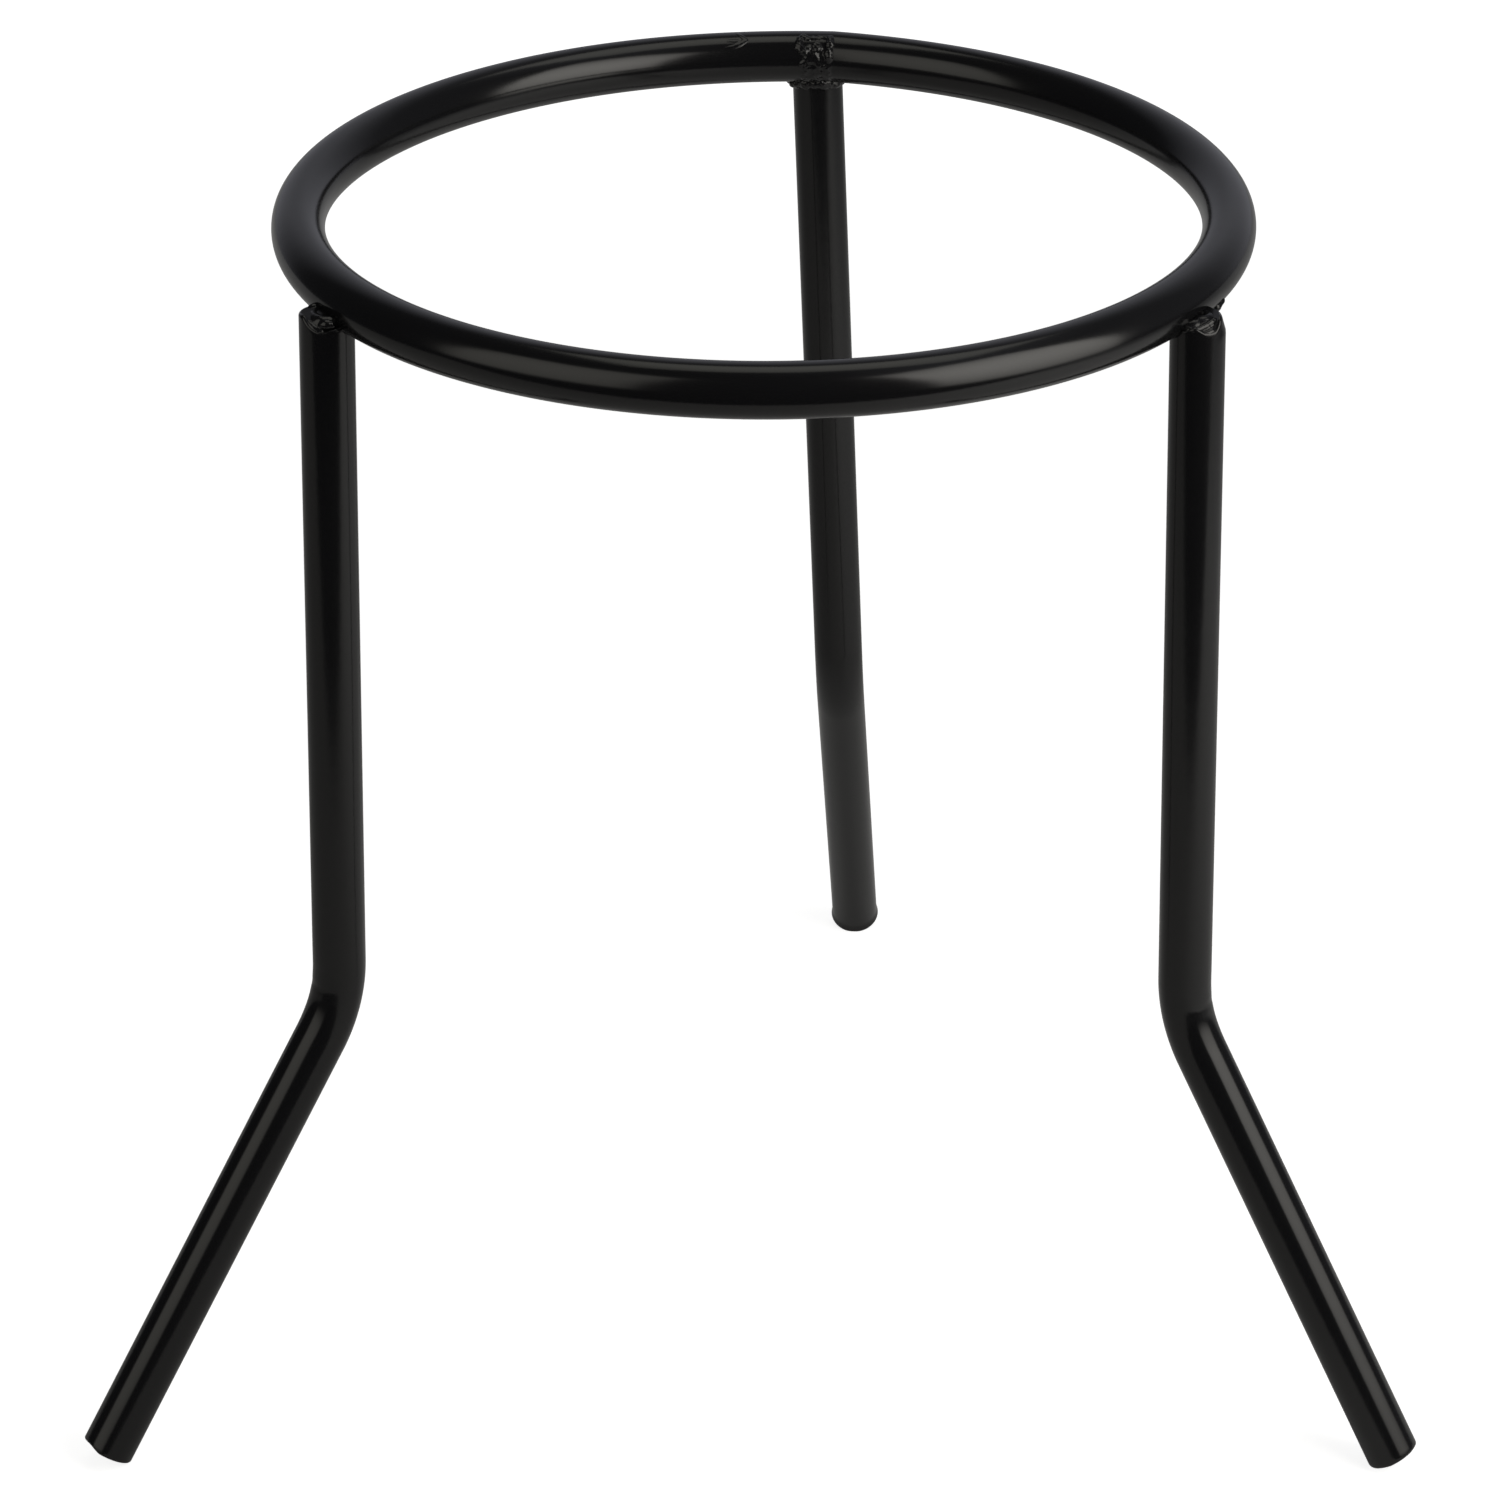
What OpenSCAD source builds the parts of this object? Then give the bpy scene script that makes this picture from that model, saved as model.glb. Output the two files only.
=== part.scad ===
// Laboratory tripod stand: a ring of round steel rod on three bent legs of the same rod,
// arc welded together and painted black. The bench is z = 0, the ring's axis is x = y = 0,
// and the back leg stands towards +Y. The legs are bent and set by hand, so each one has
// its own angles. Lists run in the order back leg, left leg, right leg.

/* [Rod] */
// Diameter of the painted rod, the same for the ring and the legs
rod_d = 8.1; // [6:0.1:11]
// Rounding of the cut rod ends
end_round = 0.6; // [0.2:0.1:1.2]

/* [Ring] */
// Outside diameter of the ring
ring_d = 150; // [120:1:200]
// Height of the top of the ring above the bench
stand_h = 190; // [160:1:260]
// Direction of the weld that closes the ring
seam_turn = 82; // [70:1:95]

/* [Legs: back, left, right] */
// Direction of each leg round the ring
leg_turn = [83.2, 210.8, 327.1]; // [0:0.1:360]
// How far each leg's centre line stands outside the ring's outer edge, at the ring's height
leg_shift = [0.2, 0, 0.3]; // [-0.6:0.1:0.8]
// How far the top of each leg stops below the ring's centre line
top_drop = [1.2, 1.0, 1.4]; // [0.6:0.1:2]
// Outward slope of the upper leg
leg_splay = [1.2, 1.2, 1.0]; // [0:0.1:6]
// Sideways lean of the leg
leg_lean = [-2, 0, -0.1]; // [-4:0.1:4]
// Height of the bend, where the centre lines of the upper and lower leg would cross
bend_h = [70, 70.8, 68.8]; // [45:0.1:100]
// Angle of the bend
bend_angle = [30.8, 31.4, 29.9]; // [15:0.1:45]
// Radius of the bend along the centre of the rod
bend_r = 25; // [15:1:40]
// How much bending draws the rod in, on its radius
bend_thin = 0.05; // [0.03:0.01:0.2]
// Turn of the foot away from straight outwards
foot_toe = [5, 0, -0.2]; // [-12:0.1:12]

/* [Welds] */
// Radius of the run of weld round a leg, under the ring
weld_r = [1.9, 1.7, 1.8]; // [1.2:0.1:2.4]
// Radius of the run of weld between a leg's cut top and the ring
weld_top_r = [1.4, 1.2, 1.6]; // [0.8:0.1:1.8]
// Length of that run
weld_top_w = 5.4; // [3:0.1:6]
// Width of the weld that closes the ring
seam_w = 6.6; // [4:0.1:9]
// Height of that weld above the rod
seam_h = 0.7; // [0.4:0.1:1.2]

/* [Hidden] */
$fn = 96;
fine = 360;

BACK = 0;
LEFT = 1;
RIGHT = 2;

rod_r = rod_d / 2;
ring_r = (ring_d - rod_d) / 2;
ring_z = stand_h - rod_r;

// Straight rod that runs on into each end of a bend, so that they are one solid
into_bend = 0.4;

// End of the run of weld round a leg, as an angle from straight outwards
run_from = 105;

// The closing weld is ground away on the top of the ring, and stops short of the back leg's weld.
// Angles round the ring's rod count from straight outwards, upwards first.
seam_from = 126;
seam_clear = 0.3;
seam_to = 270 + asin(leg_shift[BACK] / rod_r) - 2 * asin(weld_r[BACK] / rod_d) - arc_angle(seam_clear, rod_r);
seam_cap_r = (seam_w * seam_w / 4 + seam_h * seam_h) / (2 * seam_h);

black = [0.03, 0.03, 0.035];
weld_black = [0.06, 0.06, 0.065];

// Angle of an arc of the given length
function arc_angle(length, radius) = length / radius * 180 / PI;

// Fall of a direction on leg i, once the leg is leant and splayed
function fall(way, i) =
    -(way.x * sin(leg_splay[i])
      + (way.y * sin(leg_lean[i]) + way.z * cos(leg_lean[i])) * cos(leg_splay[i]));

// Direction of the lower leg in the leg's own frame, where the upper leg goes straight down
function lower_way(i) = [
    sin(bend_angle[i]) * cos(foot_toe[i]),
    sin(bend_angle[i]) * sin(foot_toe[i]),
    -cos(bend_angle[i])
];

// Height of the middle of a foot's cut end, whose inner edge stands on the bench
function foot_h(i) =
    let (c = fall(lower_way(i), i), s = sqrt(1 - c * c))
    (rod_r - end_round) * s + end_round * (1 - c);

// Lengths from the ring's centre line to the crossing at the bend, and from there to the cut end
function upper_len(i) = (ring_z - bend_h[i]) / fall([0, 0, -1], i);
function lower_len(i) = (bend_h[i] - foot_h(i)) / fall(lower_way(i), i);

// Length of straight rod that the bend takes up on each side of the crossing
function bend_cut(i) = bend_r * tan(bend_angle[i] / 2);

// Distance of a leg's centre line outside the ring's centre line
function leg_out(i) = rod_r + leg_shift[i];

// Half width of the ring's rod at a height above or below its centre, or half height at a width
function across(d) = sqrt(max(rod_r * rod_r - d * d, 0));

// Straight rod from z = -from down to z = -to, with the chosen ends rounded
module rod(from, to, round_top = false, round_foot = false) {
    top_cut = round_top ? end_round : 0;
    foot_cut = round_foot ? end_round : 0;
    translate([0, 0, -to]) rotate_extrude() {
        translate([0, foot_cut]) square([rod_r, to - from - top_cut - foot_cut]);
        if (round_foot) rounded_edge(end_round, 0);
        if (round_top) rounded_edge(to - from - end_round, to - from - end_round);
    }
}

// Half section of a rounded rod end: a disc from disc_y up and the rounding at its rim
module rounded_edge(arc_y, disc_y) {
    translate([0, disc_y]) square([rod_r - end_round, end_round]);
    intersection() {
        translate([rod_r - end_round, arc_y]) circle(end_round);
        translate([rod_r - end_round, disc_y]) square(end_round);
    }
}

// The ring: rod rolled to a circle and butt welded shut
module hoop() {
    translate([0, 0, ring_z]) rotate_extrude($fn = fine)
        translate([ring_r, 0]) circle(rod_r);
}

// Puts a leg's own frame in place: its origin where the leg's centre line meets the ring's height
module at_leg(i) {
    rotate([0, 0, leg_turn[i]]) translate([ring_r + leg_out(i), 0, ring_z])
        rotate([leg_lean[i], -leg_splay[i], 0]) children();
}

// One leg before it is fitted to the ring: upper rod, bend and lower rod
module bent_rod(i) {
    cut = bend_cut(i);
    rod(top_drop[i], upper_len(i) - cut + into_bend, round_top = true);
    rotate([0, 0, foot_toe[i]]) translate([bend_r, 0, cut - upper_len(i)]) {
        rotate([90, 0, 0]) rotate_extrude(angle = bend_angle[i], start = 180)
            translate([bend_r, 0]) circle(rod_r - bend_thin);
        rotate([0, -bend_angle[i], 0]) translate([-bend_r, 0, 0])
            rod(-into_bend, lower_len(i) - cut, round_foot = true);
    }
}

// A leg whose top is notched to the ring
module leg(i) {
    color(black) difference() {
        at_leg(i) bent_rod(i);
        hoop();
    }
}

// Closing weld of the ring: a low cap of weld bent round the inner side of the rod
module seam() {
    color(weld_black) difference() {
        rotate([0, 0, seam_turn]) translate([ring_r, 0, ring_z]) rotate([90, 0, 0])
            rotate_extrude(angle = seam_to - seam_from, start = seam_from, $fn = fine) intersection() {
                translate([rod_r + seam_h - seam_cap_r, 0]) circle(seam_cap_r);
                translate([rod_r - seam_h, -seam_w]) square([3 * seam_h, 2 * seam_w]);
            }
        hoop();
    }
}

// Run of weld round the inner half of a leg, along the corner with the ring's underside
module under_run(i) {
    x_end = rod_r * cos(run_from);
    z_end = -across(leg_out(i) + x_end);
    rise = (z_end + rod_r) / (x_end + rod_r);
    at_leg(i) translate([0, 0, z_end - rise * x_end]) rotate([0, -atan(rise), 0])
        rotate_extrude(angle = 360 - 2 * run_from, start = run_from)
            translate([rod_r, 0]) circle(weld_r[i]);
}

// Run of weld along the corner between a leg's cut top and the ring's outer side
module top_run(i) {
    span = arc_angle(weld_top_w, ring_d / 2);
    translate([0, 0, ring_z]) rotate_extrude(angle = span, start = leg_turn[i] - span / 2)
        translate([ring_r + across(top_drop[i]), -top_drop[i]]) circle(weld_top_r[i]);
}

// Weld of a leg, fitted to the ring and the leg
module leg_weld(i) {
    color(weld_black) difference() {
        union() {
            under_run(i);
            top_run(i);
        }
        hoop();
        at_leg(i) rod(top_drop[i], upper_len(i) - bend_cut(i), round_top = true);
    }
}

module ring() {
    color(black) hoop();
}

module ring_weld() { seam(); }

module leg_back() { leg(BACK); }
module leg_left() { leg(LEFT); }
module leg_right() { leg(RIGHT); }

module weld_back() { leg_weld(BACK); }
module weld_left() { leg_weld(LEFT); }
module weld_right() { leg_weld(RIGHT); }

ring();
ring_weld();
leg_back();
leg_left();
leg_right();
weld_back();
weld_left();
weld_right();
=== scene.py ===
"""Laboratory tripod stand: a rod ring on three bent rod legs, welded and painted gloss black.

The ring and the legs are round rod swept along a path, and the welds are beads of weld metal fused
into lumps. Lengths are in metres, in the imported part's own frame: the bench is z = 0, the ring's
axis is x = y = 0 and the back leg stands towards +Y.
"""
import logging
import math
from dataclasses import dataclass, field
from enum import Enum
from typing import Any, Sequence

import bpy
import numpy as np
from mathutils import Matrix, Vector


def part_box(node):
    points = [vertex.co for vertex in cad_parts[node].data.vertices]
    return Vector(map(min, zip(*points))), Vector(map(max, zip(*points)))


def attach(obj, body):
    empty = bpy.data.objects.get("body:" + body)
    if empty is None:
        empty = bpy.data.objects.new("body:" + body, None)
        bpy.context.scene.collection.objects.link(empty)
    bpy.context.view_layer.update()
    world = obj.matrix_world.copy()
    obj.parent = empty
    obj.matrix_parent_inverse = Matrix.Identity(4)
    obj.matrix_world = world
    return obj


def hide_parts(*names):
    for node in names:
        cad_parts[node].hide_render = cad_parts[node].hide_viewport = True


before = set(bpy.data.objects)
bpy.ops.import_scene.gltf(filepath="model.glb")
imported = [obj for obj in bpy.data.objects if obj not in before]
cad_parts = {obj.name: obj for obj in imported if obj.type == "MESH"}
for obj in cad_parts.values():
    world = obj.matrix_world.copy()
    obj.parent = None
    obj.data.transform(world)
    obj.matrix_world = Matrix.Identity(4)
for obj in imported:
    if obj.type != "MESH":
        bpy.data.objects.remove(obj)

LOG = logging.getLogger("tripod")
MM = 0.001
ROD_MM = 4.0  # the rod's radius in millimetres, near enough to space beads round it
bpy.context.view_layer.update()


class Place(Enum):
    """Where a leg stands, with the name that its nodes carry."""

    BACK = "back"
    LEFT = "left"
    RIGHT = "right"


# ---------------------------------------------------------------- node trees


class Value:
    """A socket in a node tree. Arithmetic on it adds Math nodes to the tree."""

    def __init__(self, graph: "Graph", socket: bpy.types.NodeSocket) -> None:
        """Wraps one output socket.

        Args:
            graph: the tree that the socket belongs to.
            socket: the output socket.
        """
        self.graph = graph
        self.socket = socket

    def _with(self, operation: str, *terms: Any) -> "Value":
        """Adds one Math node, with its terms in order."""
        return self.graph.value("ShaderNodeMath", {"operation": operation}, dict(enumerate(terms)))

    def __add__(self, other: Any) -> "Value":
        """Sum."""
        return self._with("ADD", self, other)

    __radd__ = __add__

    def __sub__(self, other: Any) -> "Value":
        """Difference."""
        return self._with("SUBTRACT", self, other)

    def __rsub__(self, other: Any) -> "Value":
        """Difference with the terms the other way round."""
        return self._with("SUBTRACT", other, self)

    def __mul__(self, other: Any) -> "Value":
        """Product."""
        return self._with("MULTIPLY", self, other)

    __rmul__ = __mul__

    def __truediv__(self, other: Any) -> "Value":
        """Quotient."""
        return self._with("DIVIDE", self, other)

    def limited(self) -> "Value":
        """The value held between 0 and 1."""
        return self._with("MINIMUM", self._with("MAXIMUM", self, 0.0), 1.0)

    def ramp(self, start: float, slope: float) -> "Value":
        """Ramp held between 0 and 1, which is 0 at the start and changes by the slope for each unit."""
        return ((self - start) * slope).limited()

    def greatest(self, other: Any) -> "Value":
        """The larger of this value and another."""
        return self._with("MAXIMUM", self, other)


class Graph:
    """A node tree that is being built."""

    def __init__(self, tree: bpy.types.NodeTree) -> None:
        """Starts on an empty or cleared tree.

        Args:
            tree: the node tree to fill.
        """
        self.tree = tree

    def node(self, kind: str, settings: dict[str, Any] | None = None,
             inputs: dict[Any, Any] | None = None) -> bpy.types.Node:
        """Makes one node.

        Args:
            kind: the node's type name.
            settings: its properties, which are set before any socket.
            inputs: a value, a socket or a Value for each input, by name or number.

        Returns:
            The new node.
        """
        node = self.tree.nodes.new(kind)
        for name, setting in (settings or {}).items():
            setattr(node, name, setting)
        for key, given in (inputs or {}).items():
            given = given.socket if isinstance(given, Value) else given
            if isinstance(given, bpy.types.NodeSocket):
                self.tree.links.new(given, node.inputs[key])
            else:
                node.inputs[key].default_value = given
        return node

    def value(self, kind: str, settings: dict[str, Any] | None = None,
              inputs: dict[Any, Any] | None = None, output: Any = 0) -> Value:
        """Makes one node and returns one of its outputs as a Value."""
        return Value(self, self.node(kind, settings, inputs).outputs[output])

    def noise(self, where: Any, scale: float, detail: float = 2.0, roughness: float = 0.5) -> Value:
        """Noise between 0 and 1 on a position in metres, with so many cells to the metre."""
        return self.value("ShaderNodeTexNoise", {"noise_dimensions": "3D"},
                          {"Vector": where, "Scale": scale, "Detail": detail, "Roughness": roughness})


class Modifier(Graph):
    """A geometry tree with named inputs, used once as a modifier and then applied."""

    def __init__(self, name: str) -> None:
        """Makes an empty geometry tree.

        Args:
            name: the tree's name.
        """
        super().__init__(bpy.data.node_groups.new(name, "GeometryNodeTree"))
        self.tree.interface.new_socket("Geometry", in_out="INPUT", socket_type="NodeSocketGeometry")
        self.tree.interface.new_socket("Geometry", in_out="OUTPUT", socket_type="NodeSocketGeometry")
        self.entry = self.node("NodeGroupInput")
        self.geometry = Value(self, self.entry.outputs[0])
        self.given: dict[str, Any] = {}

    def size(self, name: str, amount: float) -> Value:
        """Adds a named number input and returns its socket inside the tree."""
        whole = isinstance(amount, int)
        kind = "NodeSocketInt" if whole else "NodeSocketFloat"
        self.tree.interface.new_socket(name, in_out="INPUT", socket_type=kind)
        self.given[name] = amount
        return Value(self, self.entry.outputs[name])

    def end(self, geometry: Value, material: bpy.types.Material) -> None:
        """Closes the tree with real geometry in one material."""
        real = self.value("GeometryNodeRealizeInstances", None, {0: geometry})
        dressed = self.value("GeometryNodeSetMaterial", None, {"Geometry": real, "Material": material})
        self.node("NodeGroupOutput", None, {0: dressed})

    def apply(self, source: bpy.types.Object, name: str) -> bpy.types.Object:
        """Runs the tree on an object and keeps the result as a plain mesh.

        Args:
            source: the object that the tree starts from. It is removed.
            name: the new piece's name.

        Returns:
            A mesh object at the origin, with no modifiers.
        """
        modifier = source.modifiers.new("tree", "NODES")
        modifier.node_group = self.tree
        for item in self.tree.interface.items_tree:
            if item.in_out == "INPUT" and item.name in self.given:
                modifier[item.identifier] = self.given[item.name]
        depsgraph = bpy.context.evaluated_depsgraph_get()
        mesh = bpy.data.meshes.new_from_object(source.evaluated_get(depsgraph))
        bpy.data.objects.remove(source)
        bpy.data.node_groups.remove(self.tree)
        mesh.name = name
        piece = bpy.data.objects.new(name, mesh)
        bpy.context.scene.collection.objects.link(piece)
        return piece


def points_object(name: str, points: np.ndarray, closed: bool | None = None,
                  **attributes: np.ndarray) -> bpy.types.Object:
    """Makes a mesh of points, joined in order by edges unless closed is None.

    Args:
        name: the object's name.
        points: one row for each point.
        closed: whether the last point joins the first, or None for loose points.
        attributes: a number for each point, by name.

    Returns:
        The object, for a geometry tree to start from.
    """
    count = len(points)
    edges = []
    if closed is not None:
        edges = [(i, (i + 1) % count) for i in range(count if closed else count - 1)]
    mesh = bpy.data.meshes.new(name)
    mesh.from_pydata([tuple(p) for p in points], edges, [])
    for key, numbers in attributes.items():
        mesh.attributes.new(key, "FLOAT", "POINT").data.foreach_set("value", np.asarray(numbers, float))
    made = bpy.data.objects.new(name, mesh)
    bpy.context.scene.collection.objects.link(made)
    return made


# ---------------------------------------------------------------- finishes


@dataclass(frozen=True)
class Paint:
    """A coat of black stoving paint. Scales are cells to the metre, and depths are metres."""

    name: str
    roughness: float
    colour: tuple[float, float, float] = (0.006, 0.006, 0.0065)

    def material(self) -> bpy.types.Material:
        """Builds the paint.

        Returns:
            The material.
        """
        paint = bpy.data.materials.new(self.name)
        paint.use_nodes = True
        graph = Graph(paint.node_tree)
        graph.tree.nodes.clear()
        height, roughness = self._surface(graph, graph.value("ShaderNodeTexCoord", output="Object"))
        bump = graph.value("ShaderNodeBump", None, {"Height": height, "Distance": 1.0, "Strength": 1.0})
        shader = graph.value("ShaderNodeBsdfPrincipled", None, {
            "Base Color": (*self.colour, 1.0), "Roughness": roughness, "Normal": bump})
        graph.node("ShaderNodeOutputMaterial", None, {"Surface": shader})
        return paint

    def _surface(self, graph: Graph, where: Value) -> tuple[Value, Value]:
        """Height of the coat's surface and its roughness, which each paint works out in its own way."""
        raise NotImplementedError


@dataclass(frozen=True)
class GlossPaint(Paint):
    """The paint on smooth rod, with soft waves and fine grit."""

    name: str = "gloss_black_paint"
    roughness: float = 0.16
    patchy: float = 0.04
    patch_scale: float = 80.0
    flow_scale: float = 160.0
    flow_depth: float = 0.00002
    wave_scale: float = 420.0
    wave_depth: float = 0.000004
    grit_scale: float = 2600.0
    grit_depth: float = 0.0000012

    def _surface(self, graph: Graph, where: Value) -> tuple[Value, Value]:
        """Waves of three sizes, and slow patches of roughness."""
        flow = graph.noise(where, self.flow_scale, 1.0)
        wave = graph.noise(where, self.wave_scale)
        grit = graph.noise(where, self.grit_scale)
        patch = graph.noise(where, self.patch_scale, 3.0)
        height = flow * self.flow_depth + wave * self.wave_depth + grit * self.grit_depth
        return height, patch * self.patchy + (self.roughness - self.patchy / 2)


@dataclass(frozen=True)
class WeldPaint(Paint):
    """The same paint over rough weld metal, where it pools and pits."""

    name: str = "painted_weld"
    roughness: float = 0.17
    patchy: float = 0.15
    smoother: float = 0.07
    lump_scale: float = 900.0
    lump_depth: float = 0.00003

    def _surface(self, graph: Graph, where: Value) -> tuple[Value, Value]:
        """Small lumps, rougher at their tops."""
        lump = graph.noise(where, self.lump_scale, 3.0, 0.6)
        return lump * self.lump_depth, lump * self.patchy + (self.roughness - self.smoother)


# ---------------------------------------------------------------- rod


@dataclass
class Rod:
    """Round rod swept along a path, with vertices in rings that can be shaped afterwards."""

    radius: float
    sides: int = 72

    def sweep(self, name: str, path: np.ndarray, section: np.ndarray, closed: bool,
              material: bpy.types.Material) -> bpy.types.Object:
        """Sweeps the rod along a path.

        Args:
            name: the new piece's name.
            path: one row for each point of the centre line.
            section: the rod's size at each point, as a share of its full size.
            closed: whether the path closes on itself.
            material: the finish.

        Returns:
            The swept piece.
        """
        tree = Modifier(name + "_sweep")
        radius = tree.size("Rod radius", self.radius)
        sides = tree.size("Sides", self.sides)
        curve = tree.value("GeometryNodeMeshToCurve", None, {"Mesh": tree.geometry})
        circle = tree.value("GeometryNodeCurvePrimitiveCircle", None, {"Resolution": sides, "Radius": radius})
        share = tree.value("GeometryNodeInputNamedAttribute", {"data_type": "FLOAT"}, {"Name": "section"})
        swept = tree.value("GeometryNodeCurveToMesh", None, {
            "Curve": curve, "Profile Curve": circle, "Scale": share, "Fill Caps": not closed})
        smooth = tree.value("GeometryNodeSetShadeSmooth", None, {"Geometry": swept})
        tree.end(smooth, material)
        return tree.apply(points_object(name, path, closed, section=section), name)

    def rings(self, piece: bpy.types.Object) -> np.ndarray:
        """The piece's vertices as (ring, side, xyz)."""
        flat = np.empty(len(piece.data.vertices) * 3)
        piece.data.vertices.foreach_get("co", flat)
        return flat.reshape(-1, self.sides, 3)

    @staticmethod
    def store(piece: bpy.types.Object, rings: np.ndarray) -> None:
        """Writes shaped rings back to the piece."""
        piece.data.vertices.foreach_set("co", rings.reshape(-1))
        piece.data.update()


# ---------------------------------------------------------------- ring


@dataclass
class Hoop:
    """The ring, rolled a little out of round, whose two stiff ends meet in a slight peak at the weld.

    Directions round the ring are in degrees from +X towards +Y. Angles round its rod count from
    straight outwards, upwards first. The peak stands out at seam_turn and dies away over peak_reach
    degrees. pull is the three-sided shape that the legs' welds draw the ring into, oval the two-sided
    one, and slack how much closer to the axis the back is rolled. across and upright are half the
    rod's width and height.
    """

    material: bpy.types.Material
    seam_turn: float = 80.9
    peak: float = 1.93 * MM
    peak_reach: float = 17.6
    pull: float = 0.3 * MM
    pull_turn: float = 80.3
    oval: float = 0.08 * MM
    slack: float = 0.09 * MM
    across: float = 4.09 * MM
    upright: float = 4.17 * MM
    steps: int = 960
    radius: float = field(init=False)
    height: float = field(init=False)
    rod: Rod = field(init=False)

    def __post_init__(self) -> None:
        """Takes the ring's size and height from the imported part."""
        low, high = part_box("ring")
        thickness = high.z - low.z
        self.rod = Rod(thickness / 2)
        self.radius = (high.x - low.x - thickness) / 2
        self.height = (high.z + low.z) / 2

    def centre_radius(self, turn: float) -> float:
        """Distance of the ring's centre line from its axis.

        Args:
            turn: direction round the ring, in degrees.

        Returns:
            The distance.
        """
        away = abs((turn - self.seam_turn + 180.0) % 360.0 - 180.0)
        angle = math.radians(turn)
        rolled = self.peak * math.exp(-away / self.peak_reach) - self.slack * (1 + math.sin(angle))
        pulled = self.pull * math.cos(3.0 * (angle - math.radians(self.pull_turn)))
        return self.radius + rolled + pulled + self.oval * math.cos(2.0 * angle)

    def centre(self, turn: float) -> Vector:
        """Point of the centre line in a direction round the ring, in degrees."""
        angle = math.radians(turn)
        out = self.centre_radius(turn)
        return Vector((out * math.cos(angle), out * math.sin(angle), self.height))

    def spot(self, turn: float, round_rod: float, above: float = 0.0) -> Vector:
        """Point on the rod's surface or above it.

        Args:
            turn: direction round the ring, in degrees.
            round_rod: angle round the rod, in degrees.
            above: height above the surface.

        Returns:
            The point.
        """
        outward = Vector((math.cos(math.radians(turn)), math.sin(math.radians(turn)), 0))
        tilt = math.radians(round_rod)
        return self.centre(turn) + outward * ((self.across + above) * math.cos(tilt)) + Vector(
            (0, 0, (self.upright + above) * math.sin(tilt)))

    def build(self) -> bpy.types.Object:
        """Sweeps the ring and draws its rod to the section that rolling leaves."""
        turns = np.arange(self.steps) * 360.0 / self.steps
        path = np.array([self.centre(turn) for turn in turns])
        piece = self.rod.sweep("ring_rod", path, np.ones(len(path)), True, self.material)
        rings = self.rod.rings(piece)
        x, y, z = (rings[..., axis] for axis in range(3))
        radii = np.array([self.centre_radius(turn) for turn in turns])
        middle = np.interp(np.degrees(np.arctan2(y, x)), turns, radii, period=360.0)
        out = np.hypot(x, y)
        wider = (middle + (out - middle) * self.across / self.rod.radius) / out
        tall = self.height + (z - self.height) * self.upright / self.rod.radius
        self.rod.store(piece, np.stack([x * wider, y * wider, tall], axis=-1))
        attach(piece, "root")
        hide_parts("ring")
        LOG.info("ring: %d vertices", len(piece.data.vertices))
        return piece


# ---------------------------------------------------------------- legs


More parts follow.
